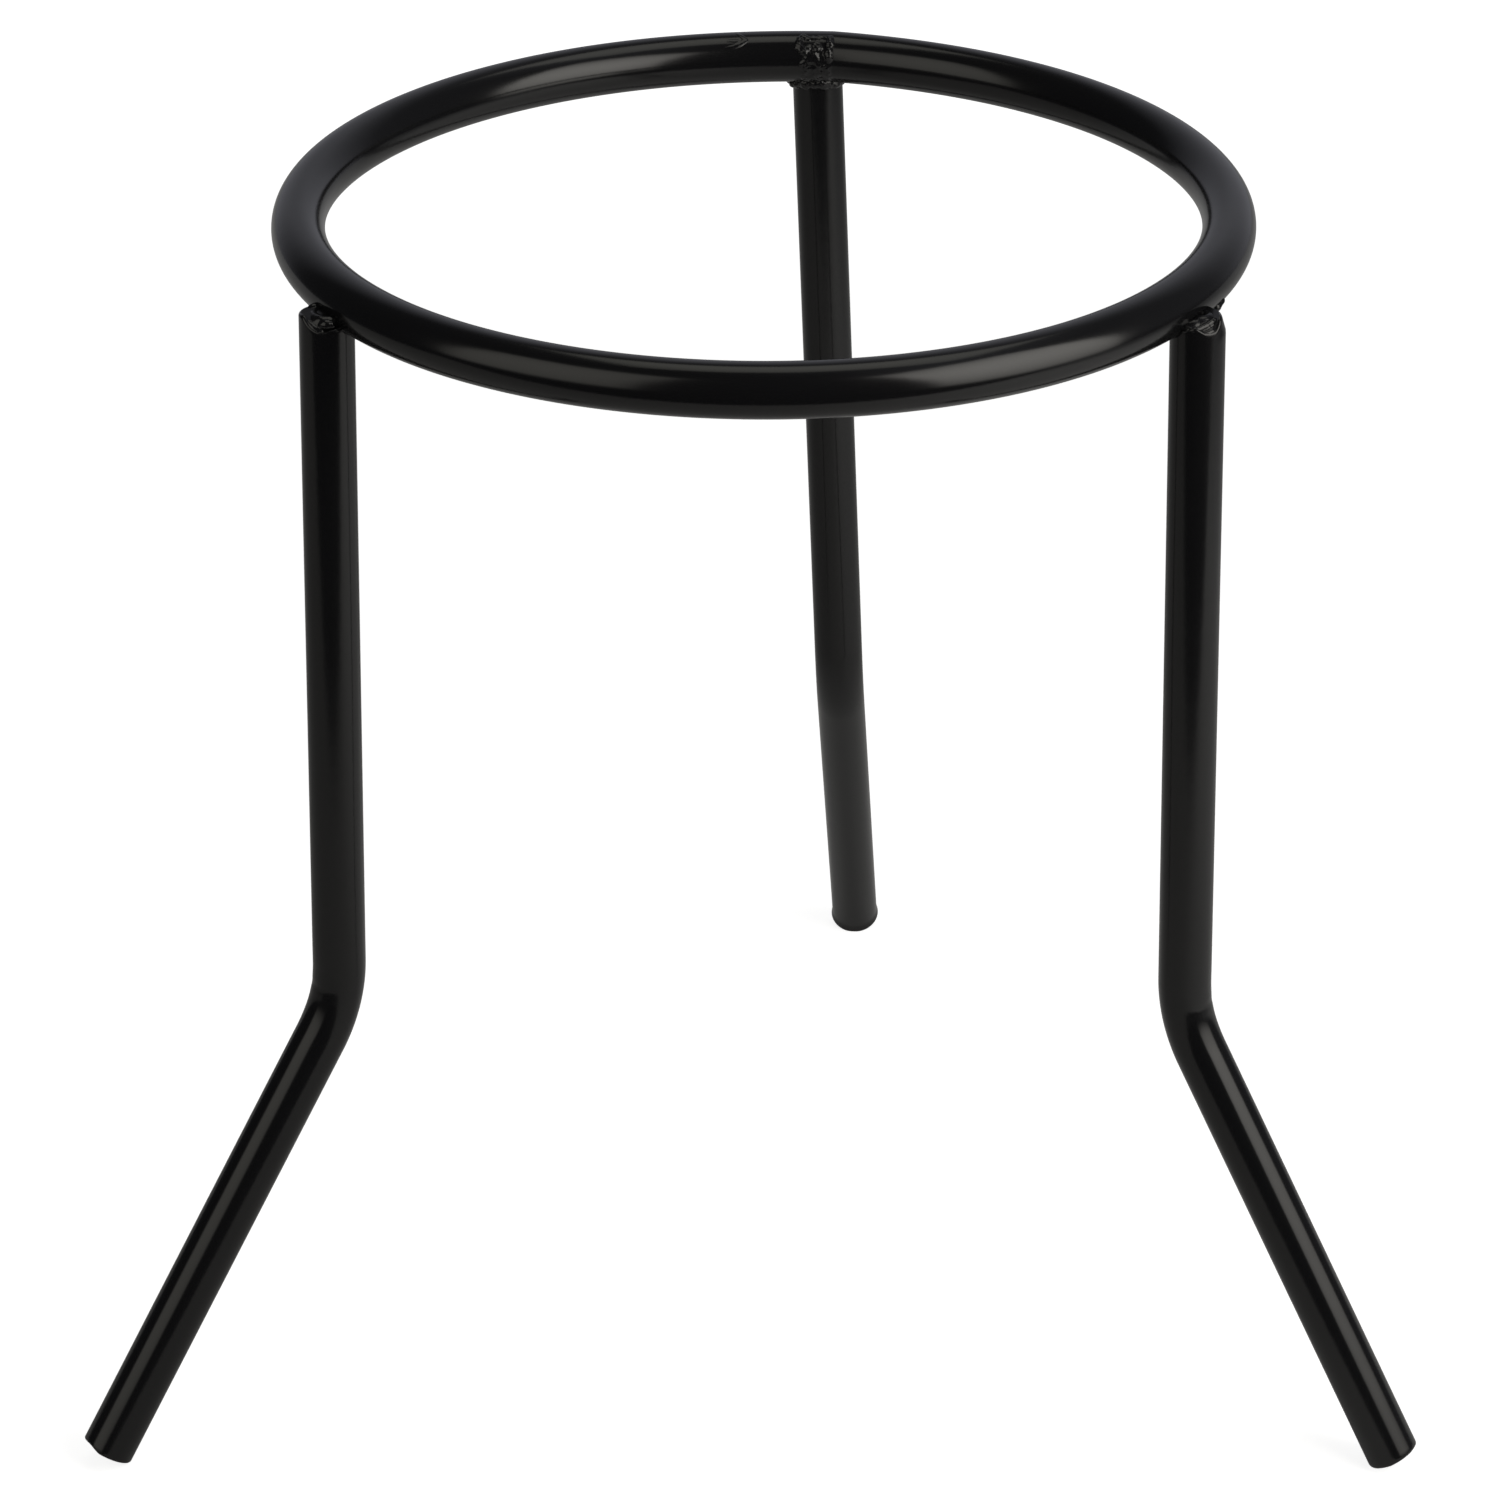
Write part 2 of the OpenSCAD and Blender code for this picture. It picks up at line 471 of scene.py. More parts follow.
@dataclass
class Leg:
    """One leg: a straight upper rod, a bend, and a lower rod that splays out to its cut foot.

    turn is its direction round the ring and shift how far it stands off the ring's outer edge. Its top
    stops top_drop below the ring's centre line. splay leans the upper rod outwards and lean sideways,
    bend_angle bends the lower rod outwards at bend_height, and toe turns that sideways.

    burnt lists how far the weld has melted the cut top away, shoulder how far it has drawn the wall in
    there, and longer how far the foot's edge stands out beyond a square cut, each as angles round the
    leg with lengths in millimetres. A reach is how far a change fades out along the leg, and
    pinch_reach is its share of the bend's length.
    """

    place: Place
    hoop: Hoop
    material: bpy.types.Material
    turn: float
    shift: float
    top_drop: float
    splay: float
    lean: float
    bend_height: float
    bend_angle: float
    toe: float
    bend_radius: float = 25 * MM
    radius: float = 4.12 * MM
    pinch: float = 0.2 * MM
    pinch_reach: float = 0.3
    crease: float = 0.1 * MM
    crease_above: float = 2.2 * MM
    crease_width: float = 0.8 * MM
    top_round: float = 0.45 * MM
    foot_round: float = 0.6 * MM
    melt_reach: float = 8 * MM
    shoulder_reach: float = 2.6 * MM
    foot_reach: float = 6 * MM
    flare_reach: float = 1.6 * MM
    burnt: tuple[tuple[float, float], ...] = ((0.0, 0.0),)
    shoulder: tuple[tuple[float, float], ...] = ((0.0, 0.0),)
    longer: tuple[tuple[float, float], ...] = ((0.0, 0.0),)
    flare: float = 0.0
    step: float = 0.5 * MM
    rod: Rod = field(init=False)

    def __post_init__(self) -> None:
        """Makes the rod."""
        self.rod = Rod(self.radius)

    def frame(self) -> Matrix:
        """The leg's own frame: its origin at the ring's height, and the upper rod along -Z."""
        outward = Matrix.Rotation(math.radians(self.turn), 4, "Z")
        out = self.hoop.radius + self.hoop.rod.radius + self.shift
        stand = Matrix.Translation((out, 0, self.hoop.height))
        tilt = Matrix.Rotation(math.radians(-self.splay), 4, "Y")
        lean = Matrix.Rotation(math.radians(self.lean), 4, "X")
        return outward @ stand @ tilt @ lean

    def path(self) -> tuple[np.ndarray, np.ndarray]:
        """Works out the centre line, from the cut top to the cut foot.

        Returns:
            Its points, and the rod's size at each as a share of its full size, which falls to the
            flat of the cut at both ends.
        """
        place = self.frame()
        angle = math.radians(self.bend_angle)
        toe = math.radians(self.toe)
        lower = Vector((math.sin(angle) * math.cos(toe), math.sin(angle) * math.sin(toe), -math.cos(angle)))
        inward = Vector((math.cos(toe), math.sin(toe), 0))
        fall_upper = -(place.to_3x3() @ Vector((0, 0, -1))).z
        fall_lower = -(place.to_3x3() @ lower).z
        spread = math.sqrt(1 - fall_lower * fall_lower)
        foot = (self.rod.radius - self.foot_round) * spread + self.foot_round * (1 - fall_lower)
        upper_length = (self.hoop.height - self.bend_height) / fall_upper
        lower_length = (self.bend_height - foot) / fall_lower
        cut = self.bend_radius * math.tan(angle / 2)
        down = Vector((0, 0, -1))
        start = down * (upper_length - cut)
        end = down * upper_length + lower * cut
        top = self._rounding(self.top_round)
        bottom = self._rounding(self.foot_round)
        points = [down * (self.top_drop + d) for d, _ in top]
        points += [down * d for d in self._spaced(self.top_drop + self.top_round, upper_length - cut)]
        turns = max(8, int(self.bend_radius * angle / self.step))
        for i in range(1, turns):
            part = angle * i / turns
            points.append(start + self.bend_radius * (
                inward * (1 - math.cos(part)) + down * math.sin(part)))
        points += [end + lower * d for d in self._spaced(0.0, lower_length - cut - self.foot_round)]
        points += [end + lower * (lower_length - cut - d) for d, _ in reversed(bottom)]
        shares = [share for _, share in top]
        shares += [1.0] * (len(points) - len(top) - len(bottom)) + [share for _, share in reversed(bottom)]
        return np.array([place @ p for p in points]), np.array(shares)

    def _rounding(self, radius: float) -> list[tuple[float, float]]:
        """Distances from a cut end with the rod's share of its size there, round the cut's edge."""
        turns = [math.radians(turn) for turn in range(0, 90, 15)]
        return [(radius * (1 - math.cos(turn)), 1 - radius / self.rod.radius * (1 - math.sin(turn)))
                for turn in turns]

    def _spaced(self, first: float, last: float) -> list[float]:
        """Distances from first to last, one step apart."""
        count = max(2, round((last - first) / self.step))
        return [first + (last - first) * i / count for i in range(count + 1)]

    @staticmethod
    def _around(vectors: np.ndarray, outward: Vector, sideways: Vector,
                edge: Sequence[tuple[float, float]]) -> np.ndarray:
        """Looks up an edge's length, in metres, in the direction of each vector round the leg."""
        turns = np.degrees(np.arctan2(vectors @ np.array(sideways), vectors @ np.array(outward)))
        knots = sorted(edge)
        return np.interp(turns, [k[0] for k in knots], [k[1] for k in knots], period=360.0) * MM

    @staticmethod
    def _fade(distances: np.ndarray, reach: float) -> np.ndarray:
        """A column that falls from 1 to 0 over a reach."""
        return np.clip(1 - distances / reach, 0, 1)[:, None]

    def _shape(self, piece: bpy.types.Object) -> None:
        """Melts the cut top, draws in the hollow side of the bend, and trims and spreads the foot."""
        rings = self.rod.rings(piece)
        turned = self.frame().to_3x3()
        angle, toe = math.radians(self.bend_angle), math.radians(self.toe)
        outward = turned @ Vector((math.cos(toe), math.sin(toe), 0))
        sideways = turned @ Vector((-math.sin(toe), math.cos(toe), 0))
        axis = turned @ Vector((0, 0, -1))
        lower = outward * math.sin(angle) + axis * math.cos(angle)
        slope = outward * math.cos(angle) - axis * math.sin(angle)
        centres = rings.mean(axis=1)
        steps = np.linalg.norm(np.diff(centres, axis=0), axis=1)
        travel = np.concatenate([[0.0], np.cumsum(steps)])
        middle = self.frame() @ Vector((0, 0, self.bend_height - self.hoop.height))
        away = np.linalg.norm(centres - np.array(middle), axis=1)
        across = rings - centres[:, None]
        drawn = self.pinch * np.exp(-(away / (self.bend_radius * angle * self.pinch_reach)) ** 2)
        groove = travel[np.argmin(away)] - self.crease_above
        drawn += self.crease * np.exp(-((travel - groove) / self.crease_width) ** 2)
        facing = np.clip(across @ np.array(outward) / self.rod.radius, 0, 1) ** 2
        local_out, local_side = turned @ Vector((1, 0, 0)), turned @ Vector((0, 1, 0))
        from_foot = travel[-1] - travel
        melted = self._around(across, local_out, local_side, self.burnt) * self._fade(travel, self.melt_reach)
        leant = self._around(across, local_out, local_side, self.shoulder)
        wider = self.flare * self._fade(from_foot, self.flare_reach) - leant * self._fade(
            travel, self.shoulder_reach)
        grown = self._around(across, slope, sideways, self.longer) * self._fade(from_foot, self.foot_reach)
        rings = rings - (drawn[:, None] * facing)[..., None] * np.array(outward)
        rings = rings + melted[..., None] * np.array(axis) + grown[..., None] * np.array(lower)
        rings = rings + across / self.rod.radius * wider[..., None]
        rings[..., 2] = np.maximum(rings[..., 2], 0.0)
        self.rod.store(piece, rings)

    def spot(self, turn: float, out: float, drop: float) -> Vector:
        """Point beside the upper rod.

        Args:
            turn: angle round the leg from straight outwards, in degrees.
            out: distance from the leg's centre line.
            drop: distance below the ring's height.

        Returns:
            The point.
        """
        angle = math.radians(turn)
        return self.frame() @ Vector((out * math.cos(angle), out * math.sin(angle), -drop))

    def under_ring(self, turn: float) -> float:
        """Drop of the ring's underside where it meets the leg's surface, at an angle round the leg."""
        angle = math.radians(turn)
        side = self.rod.radius * math.sin(angle)
        inset = self.hoop.radius + self.hoop.rod.radius + self.shift - self.hoop.centre_radius(self.turn)
        away = self.rod.radius * math.cos(angle) + inset + side * side / (2 * self.hoop.radius)
        return self.hoop.upright * math.sqrt(max(1 - (away / self.hoop.across) ** 2, 0.0))

    def build(self) -> bpy.types.Object:
        """Sweeps the leg."""
        name = f"leg_{self.place.value}"
        path, section = self.path()
        piece = self.rod.sweep(name + "_rod", path, section, False, self.material)
        self._shape(piece)
        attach(piece, "root")
        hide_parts(name)
        LOG.info("%s: %d vertices", name, len(piece.data.vertices))
        return piece


# ---------------------------------------------------------------- welds


@dataclass(frozen=True)
class Run:
    """A run of weld metal, given by steps along it.

    Args:
        steps: for each step, an angle, two lengths and the run's radius there. On a leg they are the
            angle round the leg, the distance from its centre line and the drop below the ring's
            height. On the ring they are the angle round its rod, the way along the ring from the
            seam and the height above its surface.
        rough: how much the radius varies from bead to bead, as a share of it.
        scatter: how far a bead strays from the run, in the same angle and lengths.
    """

    steps: tuple[tuple[float, float, float, float], ...]
    rough: float = 0.08
    scatter: tuple[float, float, float] = (0.0, 0.0, 0.0)

    def beads(self, spacing: float, seed: int) -> list[tuple[float, float, float, float]]:
        """Steps with beads set closely between them.

        Args:
            spacing: distance between beads, in millimetres.
            seed: seed of the uneven radii.

        Returns:
            The beads, as the steps are given.
        """
        chance = np.random.default_rng(seed)
        made = []
        for first, last in zip(self.steps, self.steps[1:] or self.steps):
            arc = math.radians(abs(last[0] - first[0])) * ROD_MM
            length = math.hypot(arc, last[1] - first[1], last[2] - first[2])
            count = max(1, round(length / spacing))
            for i in range(count + 1):
                part = i / count
                bead = [a + (b - a) * part for a, b in zip(first, last)]
                for axis, reach in enumerate(self.scatter):
                    bead[axis] += reach * chance.uniform(-1, 1)
                bead[3] *= 1 + self.rough * chance.uniform(-1, 1)
                made.append(tuple(bead))
        return made


@dataclass
class Weld:
    """Weld metal laid in runs, which fuse into one lump with a rippled skin."""

    name: str
    node: str
    material: bpy.types.Material
    runs: tuple[Run, ...]
    seed: int
    spacing: float = 0.3
    voxel: float = 0.12 * MM
    soften: int = 5
    ripple: float = 0.1 * MM
    ripple_scale: float = 900.0
    slot: str = "weld_paint"

    def spot(self, bead: tuple[float, float, float, float]) -> Vector:
        """Point in space of a bead, which the kinds of weld work out in their own way."""
        raise NotImplementedError

    def build(self) -> bpy.types.Object:
        """Lays the beads and fuses them.

        Returns:
            The weld, standing for its node.
        """
        beads = [bead for i, run in enumerate(self.runs) for bead in run.beads(self.spacing, self.seed + i)]
        spots = np.array([self.spot(bead) for bead in beads])
        radii = np.array([bead[3] * MM for bead in beads])
        piece = self._fuse(points_object(self.name, spots, None, bead_radius=radii))
        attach(piece, "root")
        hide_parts(self.node)
        LOG.info("%s: %d beads, %d vertices", self.name, len(beads), len(piece.data.vertices))
        return piece

    def _fuse(self, source: bpy.types.Object) -> bpy.types.Object:
        """Turns beads into one skin, softens it and ripples it."""
        tree = Modifier(self.name + "_fuse")
        voxel = tree.size("Voxel", self.voxel)
        soften = tree.size("Soften", self.soften)
        ripple = tree.size("Ripple", self.ripple)
        scale = tree.size("Ripple scale", self.ripple_scale)
        shift = tree.size("Seed", float(self.seed))
        radius = tree.value("GeometryNodeInputNamedAttribute", {"data_type": "FLOAT"}, {
            "Name": "bead_radius"})
        points = tree.value("GeometryNodeMeshToPoints", None, {"Mesh": tree.geometry, "Radius": radius})
        volume = tree.value("GeometryNodePointsToVolume", {"resolution_mode": "VOXEL_SIZE"}, {
            "Points": points, "Density": 1.0, "Voxel Size": voxel, "Radius": radius})
        skin = tree.value("GeometryNodeVolumeToMesh", {"resolution_mode": "VOXEL_SIZE"}, {
            "Volume": volume, "Voxel Size": voxel, "Threshold": 0.1, "Adaptivity": 0.0})
        where = tree.value("GeometryNodeInputPosition")
        even = tree.value("GeometryNodeBlurAttribute", {"data_type": "FLOAT_VECTOR"}, {
            "Value": where, "Iterations": soften}, 0)
        soft = tree.value("GeometryNodeSetPosition", None, {"Geometry": skin, "Position": even})
        noise = tree.value("ShaderNodeTexNoise", {"noise_dimensions": "4D"}, {
            "Vector": where, "W": shift, "Scale": scale, "Detail": 2.0})
        lift = tree.value("ShaderNodeVectorMath", {"operation": "SCALE"}, {
            0: tree.value("GeometryNodeInputNormal"), "Scale": (noise - 0.5) * ripple})
        rough = tree.value("GeometryNodeSetPosition", None, {"Geometry": soft, "Offset": lift})
        smooth = tree.value("GeometryNodeSetShadeSmooth", None, {"Geometry": rough})
        tree.end(smooth, self.material)
        return tree.apply(source, self.name)


@dataclass
class LegWeld(Weld):
    """The weld between a leg and the ring."""

    leg: Leg | None = None

    def spot(self, bead: tuple[float, float, float, float]) -> Vector:
        """Point beside the leg."""
        return self.leg.spot(bead[0], bead[1] * MM, bead[2] * MM)


@dataclass
class SeamWeld(Weld):
    """The butt weld that closes the ring."""

    hoop: Hoop | None = None

    def spot(self, bead: tuple[float, float, float, float]) -> Vector:
        """Point on the ring's rod, so far along the ring from the seam."""
        turn = self.hoop.seam_turn + math.degrees(bead[1] * MM / self.hoop.radius)
        return self.hoop.spot(turn, bead[0], bead[2] * MM)


def under_run(leg: Leg, first: float, last: float, radius: float, rough: float = 0.08) -> Run:
    """The run of weld along the corner between a leg and the ring's underside, a little clear of both.

    Args:
        leg: the leg.
        first: angle round the leg where the run starts, in degrees.
        last: angle where it ends.
        radius: its radius in millimetres.
        rough: how uneven it is.

    Returns:
        The run.
    """
    count = 18
    out = leg.rod.radius / MM + 0.1
    turns = [first + (last - first) * i / count for i in range(count + 1)]
    return Run(tuple((turn, out, leg.under_ring(turn) / MM + 0.05, radius) for turn in turns), rough)


# ---------------------------------------------------------------- studio


@dataclass(frozen=True)
class Camera:
    """The camera, which looks down on the stand from the front."""

    target: tuple[float, float, float] = (-2.48 * MM, 0.0, 94.2 * MM)
    distance: float = 880.8 * MM
    elevation: float = 26.35
    roll: float = -0.19
    lens: float = 131.8

    def build(self) -> None:
        """Places the camera and makes it the scene's."""
        data = bpy.data.cameras.new("camera")
        data.lens = self.lens
        data.sensor_width = 36.0
        data.clip_start = 0.05
        data.clip_end = 20.0
        camera = bpy.data.objects.new("camera", data)
        rise = math.radians(self.elevation)
        back = Vector((0, -math.cos(rise), math.sin(rise)))
        camera.location = Vector(self.target) + back * self.distance
        turn = (-back).to_track_quat("-Z", "Y").to_matrix() @ Matrix.Rotation(math.radians(self.roll), 3, "Z")
        camera.rotation_euler = turn.to_euler()
        bpy.context.scene.collection.objects.link(camera)
        bpy.context.scene.camera = camera


@dataclass(frozen=True)
class SoftBox:
    """A rectangular softbox, hot in the middle and dimmer towards its rim.

    It looks back along a direction given by an azimuth, which counts from +Y towards +X, and an
    elevation, both in degrees. rim sets how far its light takes to rise from nothing at the edge, and
    the fades are how much dimmer it is at the edge than in the middle, across it and along it.
    """

    name: str
    place: tuple[float, float, float]
    azimuth: float
    elevation: float
    width: float
    height: float
    radiance: float
    colour: tuple[float, float, float]
    rim: float = 0.06
    fade_across: float = 0.15
    fade_along: float = 0.3

    def build(self) -> None:
        """Makes the lamp, which the camera doesn't see itself."""
        data = bpy.data.lights.new(self.name, "AREA")
        data.shape = "RECTANGLE"
        data.size = self.width
        data.size_y = self.height
        data.energy = math.pi * self.width * self.height * self.radiance
        data.color = self.colour
        data.use_nodes = True
        graph = Graph(data.node_tree)
        graph.tree.nodes.clear()
        where = graph.value("ShaderNodeNewGeometry", output="Parametric")
        split = graph.node("ShaderNodeSeparateXYZ", None, {0: where})
        across = Value(graph, split.outputs[0])
        along = Value(graph, split.outputs[1])
        near = across * (1 - across) * 4.0
        far = along * (1 - along) * 4.0
        edge = (near / self.rim).limited() * (far / self.rim).limited()
        dim = (1 - near) * self.fade_across + (1 - far) * self.fade_along
        light = graph.value("ShaderNodeEmission", None, {"Strength": edge * (1 - dim)})
        graph.node("ShaderNodeOutputLight", None, {"Surface": light})
        lamp = bpy.data.objects.new(self.name, data)
        turn, rise = math.radians(self.azimuth), math.radians(self.elevation)
        away = Vector((math.sin(turn) * math.cos(rise), math.cos(turn) * math.cos(rise), math.sin(rise)))
        lamp.location = Vector(self.place)
        lamp.rotation_euler = away.to_track_quat("Z", "Y").to_euler()
        lamp.visible_camera = False
        bpy.context.scene.collection.objects.link(lamp)


@dataclass(frozen=True)
class Studio:
    """A pale table in a dark room, with a lit backdrop behind the stand and three softboxes.

    Lengths and places on the floor are in metres. The camera sees floor and room as white. A glossy
    surface sees the floor's pools of light and the room's pale parts at the levels given here.
    """

    floor_colour: tuple[float, float, float] = (0.62, 0.62, 0.62)
    floor_left: float = -0.8
    floor_right: float = 0.9
    floor_front: float = -0.29
    floor_back: float = 3.0
    floor_gap: float = 0.05 * MM
    floor_white: float = 0.85
    unlit_from: float = 0.4
    pool_right: float = 0.18
    pool_behind: float = 0.16
    pool_middle: float = 0.09
    room_colour: tuple[float, float, float] = (0.96, 0.97, 1.07)
    room_level: float = 0.035
    backdrop_level: float = 0.25
    side_level: float = 0.05
    halo_level: float = 0.15
    boxes: tuple[SoftBox, ...] = (
        SoftBox("softbox_right", (0.397, -0.289, 0.475), azimuth=112.0, elevation=8.0, width=0.485,
                height=0.88, radiance=2.82, colour=(1.04, 1.01, 0.95), rim=0.3, fade_along=0.75),
        SoftBox("softbox_left", (-0.79, -0.61, 0.80), azimuth=-136.0, elevation=12.0, width=1.00,
                height=1.44, radiance=0.84, colour=(1.05, 1.02, 0.93), rim=0.4),
        SoftBox("softbox_above", (0.07, 0.33, 1.2), azimuth=0.0, elevation=89.0, width=0.72,
                height=0.68, radiance=0.8, colour=(1.04, 1.03, 0.93)),
    )

    def build(self) -> None:
        """Makes the floor, the world and the lamps."""
        self._floor()
        self._world()
        for box in self.boxes:
            box.build()

    @staticmethod
    def _rays(graph: Graph) -> tuple[Value, Value]:
        """Which rays look: those of the camera or through glass, and those off a glossy surface."""
        path = graph.node("ShaderNodeLightPath")
        direct = Value(graph, path.outputs["Is Camera Ray"]).greatest(
            Value(graph, path.outputs["Is Transmission Ray"]))
        return direct, Value(graph, path.outputs["Is Glossy Ray"])

    @staticmethod
    def _pool(x: Value, y: Value, middle_x: float, middle_y: float, reach: float) -> Value:
        """A round pool of light on the floor, which falls from 1 in its middle to 0 at its reach."""
        across, along = x - middle_x, y - middle_y
        return (1 - (across * across + along * along) / reach ** 2).limited()

    def _floor(self) -> None:
        """Makes the table top, which looks white and keeps the stand's soft shadow."""
        corners = [(self.floor_left, self.floor_front), (self.floor_right, self.floor_front),
                   (self.floor_right, self.floor_back), (self.floor_left, self.floor_back)]
        mesh = bpy.data.meshes.new("floor")
        mesh.from_pydata([(x, y, -self.floor_gap) for x, y in corners], [], [(0, 1, 2, 3)])
        floor = bpy.data.objects.new("floor", mesh)
        bpy.context.scene.collection.objects.link(floor)
        pale = bpy.data.materials.new("pale_floor")
        pale.use_nodes = True
        graph = Graph(pale.node_tree)
        graph.tree.nodes.clear()
        direct, glossy = self._rays(graph)
        place = graph.node("ShaderNodeSeparateXYZ", None, {
            0: graph.value("ShaderNodeTexCoord", output="Object")})
        x, y = Value(graph, place.outputs[0]), Value(graph, place.outputs[1])
        unlit = (x * x + y * y).ramp(self.unlit_from ** 2, 5.0) * (1 - self.floor_white)
        pools = (self._pool(x, y, 0.42, -0.08, 0.4) * self.pool_right
                 + y.ramp(0.1, 2.0) * self.pool_behind
                 + self._pool(x, y, 0.02, 0.09, 0.14142) * self.pool_middle)
        matt = graph.value("ShaderNodeBsdfDiffuse", None, {"Color": (*self.floor_colour, 1.0)})
        white = graph.value("ShaderNodeEmission", None, {
            "Strength": direct * (self.floor_white + unlit) + glossy * pools})
        both = graph.value("ShaderNodeAddShader", None, {0: matt, 1: white})
        graph.node("ShaderNodeOutputMaterial", None, {"Surface": both})
        mesh.materials.append(pale)

    def _world(self) -> None:
        """Makes the room: white to the camera, and to the paint a lit backdrop in a dark room."""
        world = bpy.data.worlds.new("studio")
        bpy.context.scene.world = world
        world.use_nodes = True
        graph = Graph(world.node_tree)
        graph.tree.nodes.clear()
        direct, _ = self._rays(graph)
        way = graph.node("ShaderNodeSeparateXYZ", None, {0: graph.value("ShaderNodeTexCoord")})
        right, behind, up = (Value(graph, way.outputs[i]) for i in range(3))
        backdrop = (behind * 0.98 + right * 0.06).ramp(0.56, 3.2) * up.ramp(0.85, -4.0)
        side = right.ramp(-0.1, 4.0) * up.ramp(-0.15, 8.0) * behind.ramp(-0.3, 3.0)
        halo = up.ramp(0.78, 6.0) * right.ramp(0.15, 5.0)
        room = (backdrop * self.backdrop_level + side * self.side_level + halo * self.halo_level
                + self.room_level)
        dark = graph.value("ShaderNodeBackground", None, {
            "Color": (*self.room_colour, 1.0), "Strength": room})
        white = graph.value("ShaderNodeBackground", None, {"Color": (1, 1, 1, 1), "Strength": 1.0})
        seen = graph.value("ShaderNodeMixShader", None, {0: direct, 1: dark, 2: white})
        graph.node("ShaderNodeOutputWorld", None, {"Surface": seen})


def make_legs(hoop: Hoop, paint: bpy.types.Material) -> tuple[Leg, Leg, Leg]:
    """The back, left and right legs, each bent, set and cut by hand.

    Args:
        hoop: the ring that they hold up.
        paint: their finish.

    Returns:
        The three legs, not built yet.
    """
    back = Leg(Place.BACK, hoop, paint, turn=83.2, shift=0.2 * MM, top_drop=1.2 * MM, splay=1.2,
               lean=-2.0, bend_height=70.0 * MM, bend_angle=30.1, toe=5.0,
               foot_round=0.3 * MM, flare=0.25 * MM)
    left = Leg(Place.LEFT, hoop, paint, turn=210.8, shift=0.0, top_drop=0.5 * MM, splay=1.2,
               lean=0.0, bend_height=70.8 * MM, bend_angle=31.4, toe=0.0, foot_round=0.35 * MM,
               burnt=((-180, 0.0), (-120, 0.2), (-80, 0.4), (-31, 0.3), (-8, 0.1), (2, 0.1), (14, 0.75),
                      (28, 1.45), (42, 1.85), (56, 1.95), (70, 1.7), (95, 1.4), (115, 0.6), (130, 0.0)),
               longer=((-60, 0.0), (-10, -0.4), (10, -0.5), (40, 0.0)))
    right = Leg(Place.RIGHT, hoop, paint, turn=327.1, shift=0.4 * MM, top_drop=0.4 * MM, splay=1.0,
                lean=-0.1, bend_height=68.8 * MM, bend_angle=29.9, toe=-0.2,
                burnt=((-180, 1.0), (-110, 1.1), (-89, 1.2), (-78, 0.95), (-67, 0.75), (-57, 1.15),
                       (-46, 1.6), (-33, 1.7), (-20, 1.6), (-9, 1.0), (2, 0.3), (14, 0.0), (100, 0.0),
                       (130, 0.6)),
                shoulder=((-20, 0.0), (10, 0.5), (33, 0.75), (80, 0.75), (120, 0.0)),
                longer=((-170, 0.1), (-120, 0.4), (-70, 0.5), (-20, 0.2), (10, 0.0)))
    return back, left, right


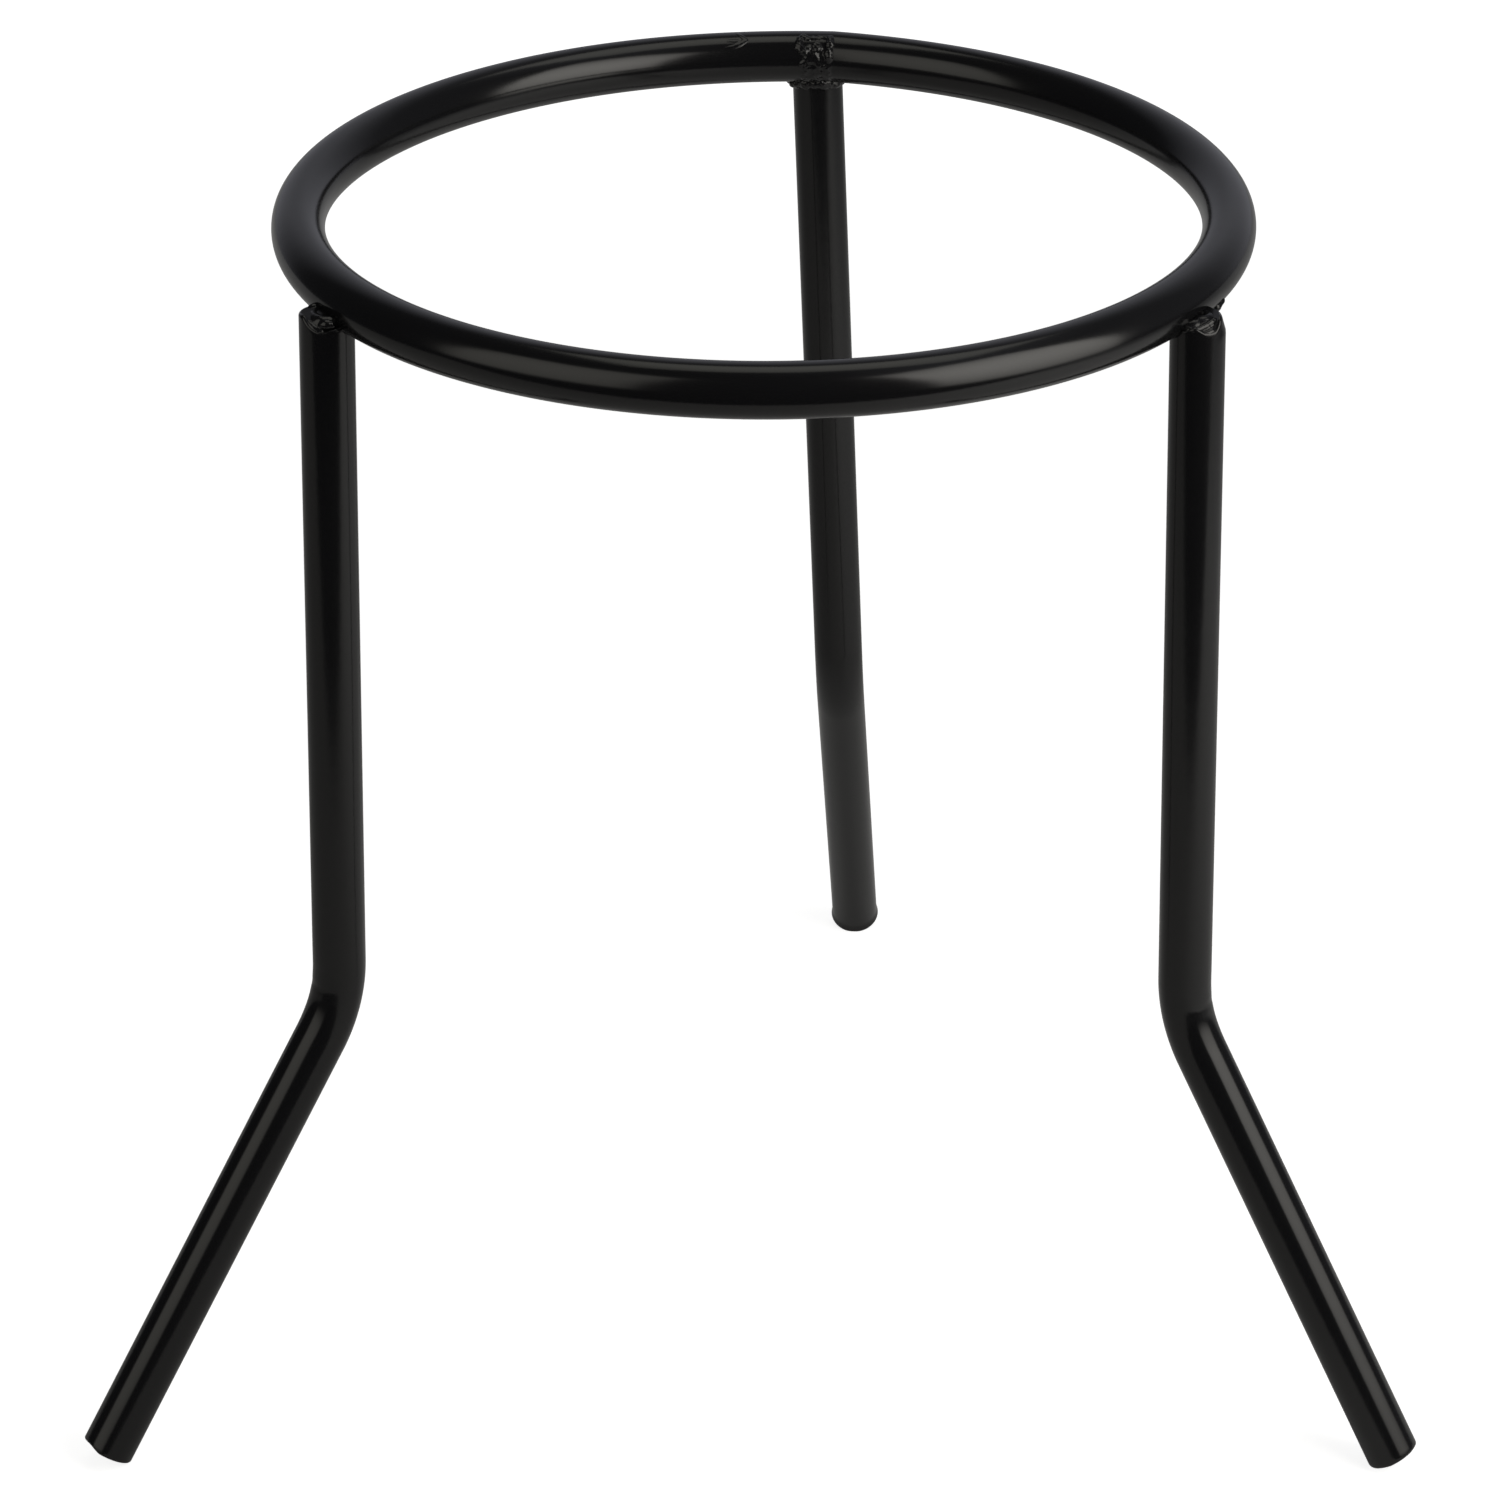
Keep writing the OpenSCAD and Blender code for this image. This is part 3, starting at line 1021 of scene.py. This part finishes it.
def make_leg_welds(legs: tuple[Leg, Leg, Leg], metal: bpy.types.Material) -> list[Weld]:
    """The welds between the legs and the ring.

    Args:
        legs: the back, left and right legs.
        metal: the finish of weld metal.

    Returns:
        The welds, not built yet.
    """
    back, left, right = legs
    return [
        LegWeld("weld_left_beads", "weld_left", metal, (
            under_run(left, 178, 250, 1.1),
            # Metal that fills the cut top, from the bottom up
            Run(((26, 2.9, 3.3, 1.05), (56, 2.7, 3.3, 1.05), (86, 2.9, 3.2, 1.05)), 0.0),
            Run(((-7, 2.6, 2.5, 1.1), (30, 1.6, 2.7, 1.2), (90, 1.4, 2.7, 1.2), (119, 2.6, 2.7, 1.1)), 0.0),
            Run(((-34, 2.6, 2.0, 1.0), (56, 0.2, 2.3, 1.3), (146, 2.5, 2.3, 1.1)), 0.0),
            Run(((-60, 2.6, 1.8, 1.0), (-124, 1.4, 1.7, 1.2), (167, 2.6, 1.8, 1.2)), 0.0),
            # Ridges and drops on it
            Run(((-72, 3.1, 1.15, 0.75), (-100, 2.8, 1.1, 0.85), (-140, 2.4, 1.1, 0.9)), 0.1),
            Run(((50, 2.8, 1.75, 0.75), (62, 3.0, 1.6, 0.85), (76, 3.0, 1.65, 0.75)), 0.05),
            Run(((12, 3.4, 1.6, 0.5), (26, 3.45, 2.1, 0.55), (40, 3.45, 2.5, 0.55),
                 (52, 3.4, 2.75, 0.5)), 0.0),
            Run(((20, 2.5, 1.25, 0.5), (50, 1.7, 1.2, 0.6), (85, 1.8, 1.3, 0.6)), 0.1),
        ), 11, ripple=0.16 * MM, leg=left),
        LegWeld("weld_right_beads", "weld_right", metal, (
            under_run(right, 110, 182, 1.1),
            # Metal that fills the cut top, from the bottom up
            Run(((-62, 2.8, 3.0, 1.05), (-30, 2.7, 3.1, 1.05), (-8, 2.8, 2.9, 1.05)), 0.0),
            Run(((-93, 2.6, 2.4, 1.1), (-60, 1.5, 2.4, 1.2), (0, 1.5, 2.3, 1.2), (33, 2.0, 2.2, 1.1)), 0.0),
            Run(((-120, 2.6, 2.0, 1.1), (-30, 0.2, 1.9, 1.3), (60, 1.8, 1.7, 1.1),
                 (110, 2.2, 1.6, 1.0)), 0.0),
            Run(((-52, 3.0, 2.45, 0.72), (-38, 3.0, 2.4, 0.72), (-24, 3.0, 2.2, 0.72),
                 (-12, 3.0, 2.0, 0.66)), 0.0),
            Run(((-40, 2.6, 1.75, 0.6), (-16, 2.5, 1.55, 0.6)), 0.0),
            # A drop on the wall, the ridge across the fill and the one along its edge
            Run(((-92, 3.85, 1.9, 0.4), (-80, 3.7, 1.6, 0.42)), 0.0),
            Run(((-70, 3.75, 1.7, 0.45), (-50, 3.05, 1.5, 0.46), (-25, 2.65, 1.2, 0.46),
                 (2, 2.7, 0.85, 0.45)), 0.0),
            Run(((-50, 3.55, 2.3, 0.44), (-36, 3.55, 2.25, 0.48), (-22, 3.5, 2.1, 0.46)), 0.0),
            # Spatter on the ring's edge
            Run(((99.8, 10.4, 2.15, 0.66), (100.4, 9.8, 2.4, 0.66), (100.8, 9.0, 2.75, 0.72)), 0.05),
        ), 23, ripple=0.16 * MM, leg=right),
        LegWeld("weld_back_beads", "weld_back", metal, (
            under_run(back, 95, 265, 0.9, 0.4),
            # Drops beside it, then the run over the cut top
            Run(((97, 4.3, 4.2, 0.6), (97, 4.9, 4.35, 0.6), (97, 5.3, 4.3, 0.45)), 0.1),
            Run(((-88, 4.5, 4.25, 0.5),), 0.0),
            Run(((-86, 5.2, 4.2, 0.45),), 0.0),
            Run(((-60, 2.6, 0.9, 0.9), (0, 2.2, 0.8, 1.2), (60, 2.6, 0.9, 0.9))),
        ), 37, soften=2, ripple=0.55 * MM, leg=back),
    ]


def make_ring_welds(hoop: Hoop, metal: bpy.types.Material, paint: bpy.types.Material) -> list[Weld]:
    """The weld that closes the ring, and the run of paint that has set beside it.

    Args:
        hoop: the ring.
        metal: the finish of weld metal.
        paint: the finish of the rod.

    Returns:
        The two, not built yet.
    """
    return [
        SeamWeld("ring_seam_beads", "ring_weld", metal, (
            # Its two raised sides, and the run that joins them at the top
            Run(((112, 4.6, -0.8, 1.0), (126, 5.2, -0.75, 1.0), (140, 5.2, -0.65, 0.95),
                 (150, 4.4, -0.45, 0.8), (155, 3.5, -0.5, 0.8), (150, 2.8, -0.6, 0.8)), 0.12),
            Run(((112, 0.2, -0.6, 0.75), (124, 0.1, -0.4, 0.75), (140, 0.1, -0.15, 0.7),
                 (156, 0.2, -0.25, 0.8), (168, 0.0, -0.5, 0.75)), 0.25),
            Run(((118, 4.0, -0.8, 0.95), (115, 2.0, -0.8, 0.95), (113, 0.2, -0.7, 0.85)), 0.05),
            # The low weld that runs on down the inner side
            Run(((152, 4.0, -2.05, 2.2), (235, 3.8, -2.05, 2.2)), 0.03, (0.0, 0.5, 0.1)),
            Run(((142, 2.4, -2.05, 2.2), (235, 2.4, -2.0, 2.2)), 0.03, (0.0, 0.5, 0.1)),
            Run(((158, 0.9, -2.05, 2.2), (235, 1.0, -2.05, 2.2)), 0.03, (0.0, 0.5, 0.1)),
        ), 53, soften=2, ripple=0.45 * MM, ripple_scale=1100.0, hoop=hoop),
        SeamWeld("ring_paint_sag", "ring", paint, (
            Run(((92, 15.5, -0.96, 1.0), (104, 14.9, -0.92, 1.0), (120, 14.1, -0.9, 1.0)), 0.0),
            Run(((120, 14.1, -0.9, 1.0), (130, 15.0, -0.9, 1.0), (137, 16.2, -0.92, 1.0),
                 (140, 17.6, -0.96, 1.0)), 0.0),
            Run(((121, 15.5, -0.95, 1.0), (120, 17.2, -0.97, 1.0)), 0.0),
        ), 71, spacing=0.2, voxel=0.1 * MM, ripple=0.0, slot="black_paint", hoop=hoop),
    ]


def main() -> None:
    """Builds the stand piece by piece."""
    logging.basicConfig(level=logging.INFO, format="%(message)s")
    bpy.context.scene.view_settings.view_transform = "Standard"
    Camera().build()
    Studio().build()
    paint = GlossPaint().material()
    metal = WeldPaint().material()
    hoop = Hoop(paint)
    legs = make_legs(hoop, paint)
    for part in (hoop, *legs, *make_leg_welds(legs, metal), *make_ring_welds(hoop, metal, paint)):
        part.build()
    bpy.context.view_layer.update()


if __name__ == "__main__":
    main()
